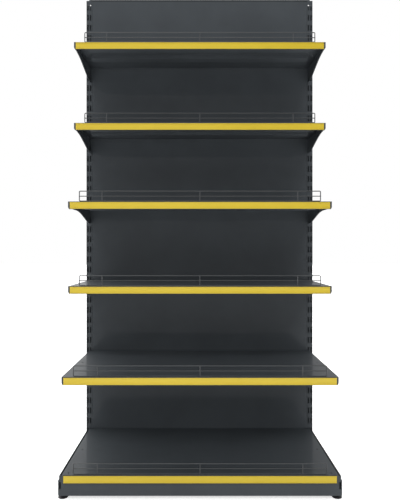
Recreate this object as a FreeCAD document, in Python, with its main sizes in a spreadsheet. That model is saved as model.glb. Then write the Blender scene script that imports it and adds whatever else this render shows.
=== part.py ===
"""A bay of retail wall shelving: slotted uprights, hung shelves on brackets, a base, and levelling feet.

Millimetres, +Z up, the front faces -Y, and the origin lies on the floor in the middle of the bay's outline.
"""

import FreeCAD
import Part
import Sketcher
import os
import re

HUNG = ("shelf_1", "shelf_2", "shelf_3", "shelf_4", "shelf_5")
PANELS = (1, 2, 3, 4, 5, 6)
SIDES = {"left": "-1", "right": "1"}
START, END, CENTRE = 1, 2, 3
ORIGIN = -1
HEXAGON = 6
QUARTER_TURN = 90
FULL_TURN = 360
HALF_A_FLAT = FULL_TURN / HEXAGON / 2
SAME_LENGTH = 1e-4
# Sheet thicknesses that a cut centred on a sheet is long, so that it passes right through
THROUGH = 4

# Driving dimensions, in millimetres
SIZES = {
    # Bay and uprights
    "bay_pitch": 1095,
    "upright_length": 2208.5,
    "upright_width": 28,
    "upright_depth": 55,
    "upright_wall": 2,
    "upright_corner": 1.2,
    "foot_plate": 3,
    "foot_clearance": 16,
    # Bracket slots in the uprights
    "slot_pitch": 50,
    "slot_length": 30,
    "slot_first": 24,
    "slot_end_margin": 30,
    "slot_offset": 6.4,
    # Back panels
    "panel_height": 400,
    "panel_sheet": 1,
    "panel_fold": 15,
    "panel_recess": 0.4,
    "panel_gap": 0.5,
    "panel_top_gap": 2.5,
    "panel_bend": 0.6,
    "panel_start": 4,
    "tab_height": 20,
    "tab_reach": 8,
    "tab_inset": 35,
    "tab_setback": 9,
    "tab_gap": 0.6,
    # Top rail and tie rails
    "rail_sheet": 1.5,
    "top_rail_rise": 5,
    "top_rail_overhang": 1,
    "top_rail_bend": 2,
    "top_rail_skirt": 30,
    "top_rail_plug": 25,
    "plug_gap": 1,
    "tie_height": 40,
    "tie_depth": 25,
    "tie_gap": 2,
    "tie_plate": 2,
    "tie_inset": 130,
    "bolt_thread": 6,
    "bolt_flats": 10,
    "bolt_head": 4,
    "bolt_spread": 11,
    "bolt_gap": 0.4,
    "bolt_tail": 2,
    "thread_gap": 0.1,
    # Shelf heights that are asked for, each taken to the nearest slot
    "shelf_1_level": 1888,
    "shelf_2_level": 1538,
    "shelf_3_level": 1188,
    "shelf_4_level": 838,
    "shelf_5_level": 488,
    # Reach of each deck in front of the uprights
    "shelf_1_reach": 317,
    "shelf_2_reach": 317,
    "shelf_3_reach": 417,
    "shelf_4_reach": 417,
    "shelf_5_reach": 517,
    "base_reach": 517,
    # Decks
    "deck_sheet": 1,
    "deck_bend": 1.4,
    "deck_lip": 32,
    "deck_corner": 4,
    "deck_skirt": 24,
    "deck_above_slot": 13,
    "lip_return": 30,
    "lip_upturn": 10,
    "lip_notch": 60,
    "rear_fold": 12,
    "rear_gap": 5,
    "side_gap": 1.3,
    "edge_gap": 1,
    "rear_hole_setback": 52,
    "lift_hole_radius": 4,
    "lift_hole_inset": 20,
    "lift_hole_setback": 20,
    "base_skirt": 8,
    "base_return": 12,
    # Stiffeners under the decks
    "rib_half": 22,
    "rib_depth": 19,
    "rib_flange": 12,
    "rib_sheet": 1,
    "rib_end_gap": 40,
    # Brackets
    "bracket_plate": 3,
    "bracket_nose": 27.5,
    "bracket_heel": 69.5,
    "bracket_slope_front": 239,
    "bracket_slope_rear": 55,
    "bracket_front_bend": 520,
    "bracket_rear_bend": 60,
    "bracket_nose_bend": 6,
    "nose_gap": 2,
    "face_gap": 0.3,
    "seat_gap": 0.1,
    "hook_side_clearance": 1.5,
    "hook_play": 0.05,
    "hook_gap": 0.3,
    "hook_tongue": 4,
    "hook_drop": 10,
    "hook_neck": 14,
    # Price strips
    "strip_height": 27.5,
    "strip_depth": 3,
    "strip_drop": 2.8,
    "strip_inset": 7.7,
    "strip_wall": 1.2,
    "strip_lip": 3,
    "strip_lip_wall": 0.9,
    # Wire fences
    "fence_wire": 4,
    "fence_bar": 3.6,
    "fence_top": 43,
    "fence_middle": 22.5,
    "fence_bend": 4,
    "fence_lap": 3,
    "fence_weld": 0.8,
    "fence_setback": 6,
    "fence_inset": 45.5,
    "fence_rest": 0.3,
    "pin_inset": 94.5,
    "pin_length": 15,
    "pin_gap": 0.5,
    # Base legs and kick plate
    "leg_height": 78.5,
    "leg_wall": 2,
    "leg_bend": 4,
    "leg_shoulder": 61,
    "leg_joggle": 4,
    "leg_plate": 3,
    "leg_setback": 12,
    "leg_slot_height": 40,
    "leg_hook_drop": 5,
    "leg_hook_neck": 12,
    "kick_height": 53.5,
    "kick_sheet": 1,
    "kick_fold": 12,
    "kick_gap": 0.2,
    "kick_end_gap": 0.5,
    "kick_tab_height": 20,
    "kick_tab_reach": 7,
    # Levelling feet
    "foot_setback": 25,
    "pad_radius": 20,
    "pad_rim": 3.5,
    "pad_boss_radius": 12,
    "pad_height": 10,
    "pad_floor": 4,
    "pad_bend": 1,
    "stem_radius": 5,
    "stem_reach": 40,
    "stem_end_gap": 0.3,
    "stem_chamfer": 1,
    "collar_flats": 14,
    "foot_hole_gap": 0.5,
    "nut_flats": 17,
    "nut_height": 8,
    "rail_nut_height": 5,
}

# Sizes that follow from the driving dimensions
FITS = {
    "upright_half": "upright_width / 2",
    "upright_top": "foot_clearance + upright_length",
    "centre_x": "bay_pitch / 2",
    "inner_x": "centre_x - upright_half",
    "slot_width": "bracket_plate + 2 * hook_side_clearance",
    "slot_count": "floor((upright_length - slot_first - slot_end_margin) / slot_pitch) + 1",
    "slot_bottom": "slot_first - slot_length / 2",
    "slot_sag": "slot_width / 2 - sqrt(slot_width ^ 2 - bracket_plate ^ 2) / 2",
    "hook_seat": "slot_sag + hook_play",
    "hook_front": "upright_wall + hook_gap",
    "hook_back": "hook_front + hook_tongue",
    "hang_level": "foot_clearance + slot_bottom + deck_above_slot",
    "bracket_x": "centre_x - slot_offset",
    "bracket_top": "deck_sheet + seat_gap",
    "deck_half": "bracket_x + bracket_plate / 2 + side_gap + deck_sheet",
    "hung_clear_half": "bracket_x - bracket_plate / 2 - edge_gap",
    "base_clear_half": "inner_x - edge_gap",
    "strip_half": "deck_half - strip_inset",
    "fence_half": "deck_half - fence_inset",
    "fence_low": "fence_wire / 2 + fence_rest",
    "fence_offset": "(fence_wire + fence_bar) / 2 - fence_weld",
    "pin_x": "fence_half - pin_inset",
    "pin_hole_radius": "fence_bar / 2 + pin_gap",
    "deepest": "max(base_reach; " + "; ".join(f"{name}_reach" for name in HUNG) + ") + strip_depth",
    "face_y": "(deepest - upright_depth) / 2",
    "leg_length": "base_reach - leg_setback",
    "leg_top_half": "upright_half - leg_joggle",
    "base_z": "foot_clearance + leg_height + base_skirt",
    "panel_half": "inner_x - panel_gap",
    "panel_back": "panel_recess + panel_fold",
    "tab_z": "tab_height + tab_inset",
    "tie_front": "panel_back + tie_gap",
    "tie_back": "tie_front + tie_depth",
    "tie_rail_lower_z": "foot_clearance + tie_inset",
    "tie_rail_upper_z": "upright_top - tie_inset",
    "bolt_y": "tie_front + tie_depth / 2",
    "bolt_hole_radius": "bolt_thread / 2 + bolt_gap",
    "bolt_length": "tie_plate + upright_wall + rail_nut_height + bolt_tail",
    "foot_hole_radius": "stem_radius + foot_hole_gap",
    "front_foot_y": "face_y - leg_length + foot_setback",
    "rear_foot_y": "face_y + upright_depth / 2",
    "front_nut_z": "foot_clearance + leg_wall",
    "rear_nut_z": "foot_clearance + foot_plate",
    "thread_radius": "stem_radius + thread_gap",
    "kick_half": "centre_x - kick_end_gap",
    **{
        f"{name}_z": f"hang_level + slot_pitch * round(({name}_level - hang_level) / slot_pitch)"
        for name in HUNG
    },
    "panel_1_z": "foot_clearance + panel_start",
    **{f"panel_{number}_z": f"{number - 1} * panel_height" for number in PANELS[1:]},
    **{
        f"panel_{number}_height": f"panel_{number + 1}_z - panel_gap - panel_{number}_z"
        for number in PANELS[:-1]
    },
    "panel_6_height": "upright_top - panel_top_gap - panel_6_z",
}

document = FreeCAD.newDocument("shelving_unit")
sheet = document.addObject("Spreadsheet::Sheet", "Sizes")
for row, (alias, size) in enumerate(SIZES.items(), start=1):
    sheet.set(f"A{row}", alias)
    sheet.set(f"B{row}", str(size))
    sheet.setAlias(f"B{row}", alias)
document.recompute()


def bound(text):
    """Expression with each size named by the sheet or the fits that hold it."""

    def owner(match):
        name = match.group(0)
        if name in SIZES:
            return f"Sizes.{name}"
        return f"Fits.{name}" if name in FITS else name

    return re.sub(r"[a-z]\w*", owner, text)


fits = document.addObject("App::VarSet", "Fits")
for name, text in FITS.items():
    fits.addProperty("App::PropertyFloat", name, "Fits")
    fits.setExpression(name, bound(text))
document.recompute()


def value(text):
    """Number that an expression has with the present sizes."""
    return float(fits.evalExpression(bound(text)))


def new_body(label, x="0", y="face_y", z="0"):
    """Empty body whose place is bound to the sizes."""
    body = document.addObject("PartDesign::Body", label)
    body.Label = label
    for axis, text in zip("xyz", (x, y, z)):
        body.setExpression(f"Placement.Base.{axis}", bound(text))
    return body


def attach(feature, body, role, offset="0"):
    """Lay a sketch or a primitive on one of the body's own origin planes, moved along its normal."""
    plane = next(item for item in body.Origin.OriginFeatures if item.Role == role)
    feature.AttachmentSupport = [(plane, "")]
    feature.MapMode = "FlatFace"
    feature.setExpression("AttachmentOffset.Base.z", bound(offset))


def new_sketch(body, role, offset="0"):
    """Empty sketch; XZ sketches face forwards, YZ sketches face +X and XY sketches face up."""
    sketch = body.newObject("Sketcher::SketchObject", f"{body.Name}_sketch")
    attach(sketch, body, role, offset)
    return sketch


def constrain(sketch, kind, *place, size):
    """Dimension in a sketch, bound to an expression."""
    index = sketch.addConstraint(Sketcher.Constraint(kind, *place, value(size)))
    sketch.setExpression(f"Constraints[{index}]", bound(size))


def pin_point(sketch, geometry, end, x, y):
    """Tie a point of a sketch to its distances from the sketch's origin."""
    constrain(sketch, "DistanceX", ORIGIN, START, geometry, end, size=x)
    constrain(sketch, "DistanceY", ORIGIN, START, geometry, end, size=y)


def outline(sketch, points):
    """Closed straight-sided outline through points given as pairs of expressions."""
    first = sketch.GeometryCount
    count = len(points)
    corners = [FreeCAD.Vector(value(x), value(y), 0) for x, y in points]
    following = [(place + 1) % count for place in range(count)]
    lines = [Part.LineSegment(corners[place], corners[after]) for place, after in enumerate(following)]
    sketch.addGeometry(lines, False)
    joins = [
        Sketcher.Constraint("Coincident", first + place, END, first + after, START)
        for place, after in enumerate(following)
    ]
    sketch.addConstraint(joins)
    for place, (x, y) in enumerate(points):
        pin_point(sketch, first + place, START, x, y)
    return sketch


def side_outline(sketch, points):
    """Outline on a YZ sketch through points given as reach in front of the uprights, and height."""
    return outline(sketch, [(f"-({reach})", height) for reach, height in points])


def rectangle(sketch, left, right, low, high):
    """Closed rectangle between four expressions."""
    return outline(sketch, [(left, low), (right, low), (right, high), (left, high)])


def circle(sketch, x, y, radius):
    """Circle whose centre and radius are bound to expressions."""
    centre = FreeCAD.Vector(value(x), value(y), 0)
    place = sketch.addGeometry(Part.Circle(centre, FreeCAD.Vector(0, 0, 1), value(radius)), False)
    pin_point(sketch, place, CENTRE, x, y)
    constrain(sketch, "Radius", place, size=radius)
    return sketch


def tangent_chain(sketch, pieces):
    """Add a closed chain of lines and arcs, tangent at each join, and give the first one's number."""
    first = sketch.GeometryCount
    sketch.addGeometry(pieces, False)
    count = len(pieces)
    for place in range(count):
        after = first + (place + 1) % count
        sketch.addConstraint(Sketcher.Constraint("Tangent", first + place, END, after, START))
    return first


def arc(x, y, radius, quarter, quarters):
    """Arc from a number of quarter turns, over a number of quarter turns, anticlockwise."""
    quarter_turn = FreeCAD.Units.Quantity(f"{QUARTER_TURN} deg").getValueAs("rad").Value
    ring = Part.Circle(FreeCAD.Vector(x, y, 0), FreeCAD.Vector(0, 0, 1), radius)
    return Part.ArcOfCircle(ring, quarter * quarter_turn, (quarter + quarters) * quarter_turn)


def line(x_1, y_1, x_2, y_2):
    """Straight piece of an outline."""
    return Part.LineSegment(FreeCAD.Vector(x_1, y_1, 0), FreeCAD.Vector(x_2, y_2, 0))


def upright_slot(sketch, x, height):
    """Round-ended slot for a hook, given by its centre."""
    middle = value(x)
    radius = value("slot_width / 2")
    top = f"{height} + (slot_length - slot_width) / 2"
    bottom = f"{height} - (slot_length - slot_width) / 2"
    high, low = value(top), value(bottom)
    first = tangent_chain(
        sketch,
        [
            arc(middle, high, radius, 0, 2),
            line(middle - radius, high, middle - radius, low),
            arc(middle, low, radius, 2, 2),
            line(middle + radius, low, middle + radius, high),
        ],
    )
    upper, lower = first, first + 2
    sketch.addConstraint(Sketcher.Constraint("Equal", upper, lower))
    constrain(sketch, "Radius", upper, size="slot_width / 2")
    pin_point(sketch, upper, CENTRE, x, top)
    constrain(sketch, "DistanceY", ORIGIN, START, lower, CENTRE, size=bottom)


def rounded_loop(sketch, half, low, high, bend):
    """Closed wire path with four bends, centred on the sketch's vertical axis."""
    side, base, top, radius = (value(text) for text in (half, low, high, bend))
    across, foot, head = side - radius, base + radius, top - radius
    first = tangent_chain(
        sketch,
        [
            line(-across, base, across, base),
            arc(across, foot, radius, 3, 1),
            line(side, foot, side, head),
            arc(across, head, radius, 0, 1),
            line(across, top, -across, top),
            arc(-across, head, radius, 1, 1),
            line(-side, head, -side, foot),
            arc(-across, foot, radius, 2, 1),
        ],
    )
    bends = [first + 1, first + 3, first + 5, first + 7]
    for lower in bends[1:]:
        sketch.addConstraint(Sketcher.Constraint("Equal", bends[0], lower))
    sketch.addConstraint(Sketcher.Constraint("Horizontal", first))
    sketch.addConstraint(Sketcher.Constraint("Vertical", first + 2))
    constrain(sketch, "Radius", bends[0], size=bend)
    pin_point(sketch, bends[0], CENTRE, f"{half} - {bend}", f"{low} + {bend}")
    pin_point(sketch, bends[2], CENTRE, f"{bend} - ({half})", f"{high} - {bend}")


def pad(body, sketch, length, centred=False):
    """Add material along the sketch's normal, or half to each side of it."""
    feature = body.newObject("PartDesign::Pad", f"{body.Name}_pad")
    feature.Profile = sketch
    feature.setExpression("Length", bound(length))
    feature.SideType = "Symmetric" if centred else "One side"
    document.recompute()
    return feature


def pocket(body, sketch, length, reach="both"):
    """Cut to both sides of a sketch, or along its normal only."""
    feature = body.newObject("PartDesign::Pocket", f"{body.Name}_pocket")
    feature.Profile = sketch
    feature.setExpression("Length", bound(length))
    feature.SideType = "Symmetric" if reach == "both" else "One side"
    feature.Reversed = reach == "along"
    document.recompute()
    return feature


def edges_where(feature, test):
    """Names of the edges all of whose ends pass a test of their place."""
    names = []
    for number, edge in enumerate(feature.Shape.Edges, start=1):
        if all(test(vertex.Point) for vertex in edge.Vertexes):
            names.append(f"Edge{number}")
    return names


def near(first, second):
    """Whether two lengths are the same."""
    return abs(first - second) < SAME_LENGTH


def fillet(body, test, radius):
    """Round the edges of the body that pass a test."""
    base = body.Tip
    feature = body.newObject("PartDesign::Fillet", f"{body.Name}_fillet")
    feature.Base = (base, edges_where(base, test))
    feature.setExpression("Radius", bound(radius))
    document.recompute()
    return feature


def round_corner(body, reach, height, radius):
    """Round the edge across the body at one reach in front of the uprights and one height."""
    y, z = value(f"-({reach})"), value(height)
    return fillet(body, lambda point: near(point.y, y) and near(point.z, z), radius)


def build_upright(side):
    """Slotted box-section upright with a closed foot and an open top."""
    sign = SIDES[side]
    body = new_body(f"upright_{side}", x=f"{sign} * centre_x", z="foot_clearance")
    tube = rectangle(new_sketch(body, "XY_Plane"), "-upright_half", "upright_half", "0", "upright_depth")
    pad(body, tube, "upright_length")
    half, depth = value("upright_half"), value("upright_depth")
    fillet(
        body,
        lambda point: near(abs(point.x), half) and (near(point.y, 0) or near(point.y, depth)),
        "upright_corner",
    )
    hollow = rectangle(
        new_sketch(body, "XY_Plane", "foot_plate"),
        "upright_wall - upright_half",
        "upright_half - upright_wall",
        "upright_wall",
        "upright_depth - upright_wall",
    )
    pocket(body, hollow, "upright_length", reach="along")
    foot_hole = circle(new_sketch(body, "XY_Plane"), "0", "upright_depth / 2", "foot_hole_radius")
    pocket(body, foot_hole, f"{THROUGH} * foot_plate")
    inner_face = f"-({sign}) * upright_half"
    tab_slots = new_sketch(body, "YZ_Plane", inner_face)
    for number in PANELS:
        ends = (f"panel_{number}_z + tab_inset", f"panel_{number}_z + panel_{number}_height - tab_z")
        for low in ends:
            rectangle(
                tab_slots,
                "panel_recess + tab_setback - tab_gap",
                "panel_recess + tab_setback + panel_sheet + tab_gap",
                f"{low} - foot_clearance",
                f"{low} - foot_clearance + tab_height + tab_gap",
            )
    pocket(body, tab_slots, f"{THROUGH} * upright_wall")
    bolt_holes = new_sketch(body, "YZ_Plane", inner_face)
    for rail in ("lower", "upper"):
        for spread in ("bolt_spread", "-bolt_spread"):
            height = f"tie_rail_{rail}_z - foot_clearance + {spread}"
            circle(bolt_holes, "bolt_y", height, "bolt_hole_radius")
    pocket(body, bolt_holes, f"{THROUGH} * upright_wall")
    slots = new_sketch(body, "XZ_Plane")
    for column in ("-slot_offset", "slot_offset"):
        upright_slot(slots, column, "slot_first")
    first_pair = pocket(body, slots, f"{THROUGH} * upright_wall")
    column = body.newObject("PartDesign::LinearPattern", f"{body.Name}_slots")
    column.Originals = [first_pair]
    column.Direction = (slots, ["V_Axis"])
    column.setExpression("Length", bound("(slot_count - 1) * slot_pitch"))
    column.setExpression("Occurrences", bound("slot_count"))
    body.Tip = column
    return body


def build_panel(number):
    """Folded back panel with four tabs that drop into the uprights' sides."""
    height = f"panel_{number}_height"
    body = new_body(f"back_panel_{number}", z=f"panel_{number}_z")
    blank = rectangle(new_sketch(body, "XZ_Plane", "-panel_back"), "-panel_half", "panel_half", "0", height)
    pad(body, blank, "panel_fold")
    front = value("panel_recess")
    fillet(body, lambda point: near(point.y, front), "panel_bend")
    tray = rectangle(
        new_sketch(body, "XZ_Plane", "-panel_back"),
        "panel_sheet - panel_half",
        "panel_half - panel_sheet",
        "panel_sheet",
        f"{height} - panel_sheet",
    )
    pocket(body, tray, "panel_fold - panel_sheet", reach="along")
    tabs = new_sketch(body, "XZ_Plane", "-(panel_recess + tab_setback + panel_sheet)")
    for low in ("tab_inset", f"{height} - tab_z"):
        high = f"{low} + tab_height"
        rectangle(tabs, "panel_half - panel_sheet", "panel_half + tab_reach", low, high)
        rectangle(tabs, "-(panel_half + tab_reach)", "panel_sheet - panel_half", low, high)
    pad(body, tabs, "panel_sheet")
    return body


def build_top_rail():
    """Shallow cap over the panels, with a rear skirt and a plug into each upright."""
    body = new_body("top_rail", z="upright_top")
    front, back = "-top_rail_overhang", "upright_depth - panel_recess"
    cap = outline(
        new_sketch(body, "YZ_Plane"),
        [
            (front, "0"),
            (front, "top_rail_rise"),
            (back, "top_rail_rise"),
            (back, "0"),
            (f"{back} - rail_sheet", "0"),
            (f"{back} - rail_sheet", "top_rail_rise - rail_sheet"),
            (f"{front} + rail_sheet", "top_rail_rise - rail_sheet"),
            (f"{front} + rail_sheet", "0"),
        ],
    )
    pad(body, cap, "bay_pitch", centred=True)
    skirt = rectangle(
        new_sketch(body, "YZ_Plane"), f"{back} - rail_sheet", back, "-top_rail_skirt", "rail_sheet"
    )
    pad(body, skirt, "2 * panel_half", centred=True)
    plugs = new_sketch(body, "XZ_Plane", "-(upright_depth - upright_wall - plug_gap)")
    near_end, far_end = "inner_x + upright_wall + plug_gap", "centre_x - plug_gap"
    rectangle(plugs, near_end, far_end, "-top_rail_plug", "top_rail_rise - rail_sheet / 2")
    rectangle(plugs, f"-({far_end})", f"-({near_end})", "-top_rail_plug", "top_rail_rise - rail_sheet / 2")
    pad(body, plugs, "rail_sheet")
    round_corner(body, "top_rail_overhang", "top_rail_rise", "top_rail_bend")
    return body


def build_tie_rail(rail):
    """Channel behind the panels that ties the uprights, open to the rear, with bolted end plates."""
    body = new_body(f"tie_rail_{rail}", z=f"tie_rail_{rail}_z")
    half = "tie_height / 2"
    channel = outline(
        new_sketch(body, "YZ_Plane"),
        [
            ("tie_front", f"-{half}"),
            ("tie_back", f"-{half}"),
            ("tie_back", f"rail_sheet - {half}"),
            ("tie_front + rail_sheet", f"rail_sheet - {half}"),
            ("tie_front + rail_sheet", f"{half} - rail_sheet"),
            ("tie_back", f"{half} - rail_sheet"),
            ("tie_back", half),
            ("tie_front", half),
        ],
    )
    pad(body, channel, "2 * inner_x", centred=True)
    for offset in ("inner_x - tie_plate", "-inner_x"):
        plate = rectangle(new_sketch(body, "YZ_Plane", offset), "tie_front", "tie_back", f"-{half}", half)
        pad(body, plate, "tie_plate")
    holes = new_sketch(body, "YZ_Plane")
    for spread in ("bolt_spread", "-bolt_spread"):
        circle(holes, "bolt_y", spread, "bolt_hole_radius")
    pocket(body, holes, "2 * inner_x + tie_plate")
    return body


def solid(kind, x, y, z, turn=None, **sizes):
    """Simple solid, turned from the Z axis if asked, with its sizes and place bound to expressions."""
    item = document.addObject(f"Part::{kind}", kind)
    if turn is not None:
        item.Placement = FreeCAD.Placement(FreeCAD.Vector(), turn)
    for axis, text in zip("xyz", (x, y, z)):
        item.setExpression(f"Placement.Base.{axis}", bound(text))
    for name, text in sizes.items():
        item.setExpression(name, bound(text))
    return item


def joined(kind, base, tool):
    """Fuse or cut two simple solids."""
    item = document.addObject(f"Part::{kind}", kind)
    item.Base = base
    item.Tool = tool
    return item


def group(label, items):
    """Set of like pieces kept as separate solids under one name."""
    item = document.addObject("Part::Compound", label)
    item.Label = label
    item.Links = items
    return item


def tie_rail_ends():
    """Place and outward turn of each bolt that holds a tie rail."""
    for rail in ("lower", "upper"):
        for sign in SIDES.values():
            turn = FreeCAD.Rotation(FreeCAD.Vector(0, 1, 0), QUARTER_TURN * int(sign))
            for spread in ("bolt_spread", "-bolt_spread"):
                yield sign, turn, f"tie_rail_{rail}_z + {spread}"


def build_rail_bolts():
    """Hexagon bolts through the tie rails' end plates into the uprights."""
    bolts = []
    y = "face_y + bolt_y"
    for sign, turn, z in tie_rail_ends():
        plate_x = f"{sign} * (inner_x - tie_plate)"
        head_x = f"{sign} * (inner_x - tie_plate - bolt_head)"
        head = solid("Prism", head_x, y, z, turn, Circumradius="bolt_flats / sqrt(3)", Height="bolt_head")
        shank = solid("Cylinder", plate_x, y, z, turn, Radius="bolt_thread / 2", Height="bolt_length")
        bolts.append(joined("Fuse", head, shank))
    return group("rail_bolts", bolts)


def build_rail_nuts():
    """Nuts of the tie rails' bolts, inside the uprights."""
    nuts = []
    y = "face_y + bolt_y"
    thread = "bolt_thread / 2 + thread_gap"
    for sign, turn, z in tie_rail_ends():
        x = f"{sign} * (inner_x + upright_wall)"
        block = solid("Prism", x, y, z, turn, Circumradius="bolt_flats / sqrt(3)", Height="rail_nut_height")
        bore = solid("Cylinder", x, y, z, turn, Radius=thread, Height="rail_nut_height")
        nuts.append(joined("Cut", block, bore))
    return group("rail_nuts", nuts)


def build_foot_nuts():
    """Nuts that the four levelling feet screw into, with two flats along the sides of the frame."""
    nuts = []
    turn = FreeCAD.Rotation(FreeCAD.Vector(0, 0, 1), HALF_A_FLAT)
    for sign in SIDES.values():
        for end in ("front", "rear"):
            place = (f"{sign} * centre_x", f"{end}_foot_y", f"{end}_nut_z")
            block = solid("Prism", *place, turn, Circumradius="nut_flats / sqrt(3)", Height="nut_height")
            bore = solid("Cylinder", *place, Radius="thread_radius", Height="nut_height")
            nuts.append(joined("Cut", block, bore))
    return group("foot_nuts", nuts)


def leg_contour():
    """Outer outline of a base leg's section, from the bottom left corner."""
    return [
        ("-upright_half", "0"),
        ("upright_half", "0"),
        ("upright_half", "leg_shoulder"),
        ("leg_top_half", "leg_shoulder + leg_joggle"),
        ("leg_top_half", "leg_height"),
        ("-leg_top_half", "leg_height"),
        ("-leg_top_half", "leg_shoulder + leg_joggle"),
        ("-upright_half", "leg_shoulder"),
    ]


def build_leg(side):
    """Joggled channel, open at the top, that hooks into the foot of an upright."""
    body = new_body(f"base_leg_{side}", x=f"{SIDES[side]} * centre_x", z="foot_clearance")
    thin = "leg_wall"
    section = [
        *leg_contour()[:5],
        (f"leg_top_half - {thin}", "leg_height"),
        (f"leg_top_half - {thin}", "leg_shoulder + leg_joggle"),
        (f"upright_half - {thin}", "leg_shoulder"),
        (f"upright_half - {thin}", thin),
        (f"{thin} - upright_half", thin),
        (f"{thin} - upright_half", "leg_shoulder"),
        (f"{thin} - leg_top_half", "leg_shoulder + leg_joggle"),
        (f"{thin} - leg_top_half", "leg_height"),
        *leg_contour()[5:],
    ]
    pad(body, outline(new_sketch(body, "XZ_Plane"), section), "leg_length")
    pad(body, outline(new_sketch(body, "XZ_Plane"), leg_contour()), "leg_plate")
    front_plate = outline(new_sketch(body, "XZ_Plane", f"leg_length - {thin}"), leg_contour())
    pad(body, front_plate, thin)
    for sign in SIDES.values():
        edge = value(f"{sign} * upright_half")
        fillet(body, lambda point: near(point.x, edge) and near(point.z, 0), "leg_bend")
    for column in ("-slot_offset", "slot_offset"):
        hooks = new_sketch(body, "YZ_Plane", column)
        for seat in ("slot_bottom + hook_seat", "slot_bottom + slot_pitch + hook_seat"):
            side_outline(
                hooks,
                [
                    ("leg_plate / 2", seat),
                    ("-hook_front", seat),
                    ("-hook_front", f"{seat} - leg_hook_drop"),
                    ("-hook_back", f"{seat} - leg_hook_drop"),
                    ("-hook_back", f"{seat} + leg_hook_neck"),
                    ("leg_plate / 2", f"{seat} + leg_hook_neck"),
                ],
            )
        pad(body, hooks, "bracket_plate", centred=True)
    slots = new_sketch(body, "XZ_Plane", "leg_length")
    for column in ("-slot_offset", "slot_offset"):
        upright_slot(slots, column, "leg_slot_height")
    pocket(body, slots, f"{THROUGH} * {thin}")
    foot_hole = circle(new_sketch(body, "XY_Plane"), "0", "foot_setback - leg_length", "foot_hole_radius")
    pocket(body, foot_hole, f"{THROUGH} * {thin}")
    return body


def build_kick_plate():
    """Plinth sheet in front of the legs, clipped into their inner slots."""
    body = new_body("kick_plate", y="face_y - leg_length", z="foot_clearance")
    face = rectangle(new_sketch(body, "XZ_Plane", "kick_gap"), "-kick_half", "kick_half", "0", "kick_height")
    pad(body, face, "kick_sheet")
    folds = new_sketch(body, "XZ_Plane", "kick_gap + kick_sheet - kick_fold")
    rectangle(folds, "-base_clear_half", "base_clear_half", "0", "kick_sheet")
    rectangle(folds, "-base_clear_half", "base_clear_half", "kick_height - kick_sheet", "kick_height")
    pad(body, folds, "kick_fold")
    tabs = new_sketch(body, "XZ_Plane", "kick_gap + kick_sheet - kick_tab_reach")
    low, high = "leg_slot_height - kick_tab_height / 2", "leg_slot_height + kick_tab_height / 2"
    for sign in SIDES.values():
        middle = f"{sign} * bracket_x"
        rectangle(tabs, f"{middle} - bracket_plate / 2", f"{middle} + bracket_plate / 2", low, high)
    pad(body, tabs, "kick_tab_reach")
    return body


def build_foot_pad(end, side):
    """Round pad with a socket for the stem."""
    body = new_body(f"foot_pad_{end}_{side}", x=f"{SIDES[side]} * centre_x", y=f"{end}_foot_y")
    profile = outline(
        new_sketch(body, "XZ_Plane"),
        [
            ("0", "0"),
            ("pad_radius", "0"),
            ("pad_radius", "pad_rim"),
            ("pad_boss_radius", "pad_height"),
            ("thread_radius", "pad_height"),
            ("thread_radius", "pad_floor"),
            ("0", "pad_floor"),
        ],
    )
    turned = body.newObject("PartDesign::Revolution", f"{body.Name}_turned")
    turned.Profile = profile
    turned.ReferenceAxis = (profile, ["V_Axis"])
    turned.Angle = FULL_TURN
    document.recompute()
    floor, rim = 0, value("pad_rim")
    fillet(
        body,
        lambda point: near(point.z, floor) and point.Length > rim or near(point.z, rim),
        "pad_bend",
    )
    return body


def build_foot_stem(end, side):
    """Plain screw of a foot, with a hexagon collar between the pad and the frame."""
    body = new_body(f"foot_stem_{end}_{side}", x=f"{SIDES[side]} * centre_x", y=f"{end}_foot_y")
    screw = body.newObject("PartDesign::AdditiveCylinder", f"{body.Name}_screw")
    attach(screw, body, "XY_Plane", "pad_floor + stem_end_gap")
    screw.setExpression("Radius", bound("stem_radius"))
    screw.setExpression("Height", bound("foot_clearance + stem_reach - pad_floor - stem_end_gap"))
    document.recompute()
    tip = value("foot_clearance + stem_reach")
    ends = edges_where(screw, lambda point: near(point.z, tip))
    point_end = body.newObject("PartDesign::Chamfer", f"{body.Name}_end")
    point_end.Base = (screw, ends)
    point_end.setExpression("Size", bound("stem_chamfer"))
    collar = body.newObject("PartDesign::AdditivePrism", f"{body.Name}_collar")
    attach(collar, body, "XY_Plane", "pad_height + stem_end_gap")
    collar.Polygon = HEXAGON
    collar.setExpression("Circumradius", bound("collar_flats / sqrt(3)"))
    collar.setExpression("Height", bound("foot_clearance - pad_height - 2 * stem_end_gap"))
    document.recompute()
    return body


def deck_section(reach):
    """Folded section of a deck: rear fold, top, front lip, return and upturned edge."""
    back = f"{reach} - lip_return"
    return [
        ("rear_gap", "-rear_fold"),
        ("rear_gap", "0"),
        (reach, "0"),
        (reach, "-deck_lip"),
        (back, "-deck_lip"),
        (back, "lip_upturn - deck_lip"),
        (f"{back} + deck_sheet", "lip_upturn - deck_lip"),
        (f"{back} + deck_sheet", "deck_sheet - deck_lip"),
        (f"{reach} - deck_sheet", "deck_sheet - deck_lip"),
        (f"{reach} - deck_sheet", "-deck_sheet"),
        ("rear_gap + deck_sheet", "-deck_sheet"),
        ("rear_gap + deck_sheet", "-rear_fold"),
    ]


def lip_outline():
    """Front view of a deck's lip, cut back at its lower corners."""
    end = "deck_half - deck_corner"
    return [
        ("-deck_half", "0"),
        ("-deck_half", "-deck_skirt"),
        (f"-({end})", "-deck_lip"),
        (end, "-deck_lip"),
        ("deck_half", "-deck_skirt"),
        ("deck_half", "0"),
    ]


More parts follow.
